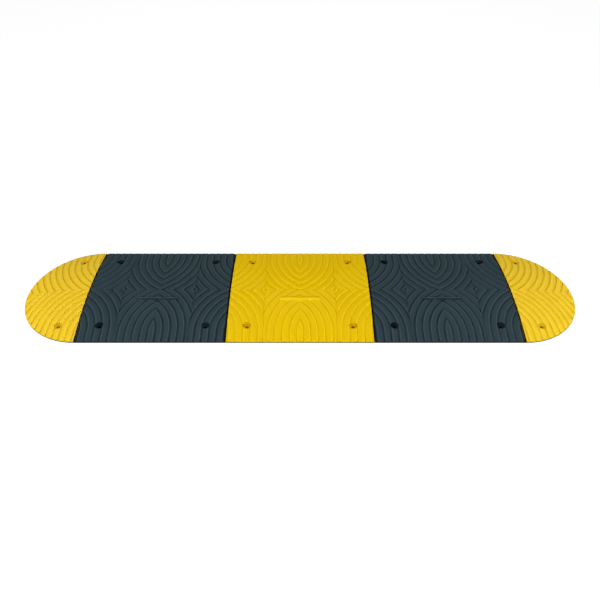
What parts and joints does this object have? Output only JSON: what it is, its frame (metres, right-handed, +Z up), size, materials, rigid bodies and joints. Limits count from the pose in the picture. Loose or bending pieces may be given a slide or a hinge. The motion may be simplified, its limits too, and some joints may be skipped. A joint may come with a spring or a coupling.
{
  "type": "speed ramp",
  "caption": "Low domed speed ramp of moulded black and yellow road sections with half-round end caps, ribbed in pointed arches and drilled for ground anchors.",
  "frame": {"origin": "on the road under the middle of the ramp", "axes": "+X along the ramp across the lane, +Y the way the traffic goes, +Z up"},
  "size_m": [1.96, 0.46, 0.03],
  "materials": {
    "yellow_plastic": "semi-matt moulded yellow",
    "black_plastic": "semi-matt moulded blue-black",
    "steel": "zinc-plated square bar"
  },
  "bodies": {
    "root": {"mid_section_left": "black_plastic", "mid_section_centre": "yellow_plastic", "mid_section_right": "black_plastic", "end_cap_left": "yellow_plastic", "end_cap_right": "yellow_plastic", "dowel_1_front": "steel", "dowel_1_rear": "steel", "dowel_2_front": "steel", "dowel_2_rear": "steel", "dowel_3_front": "steel", "dowel_3_rear": "steel", "dowel_4_front": "steel", "dowel_4_rear": "steel"}
  },
  "joints": []
}
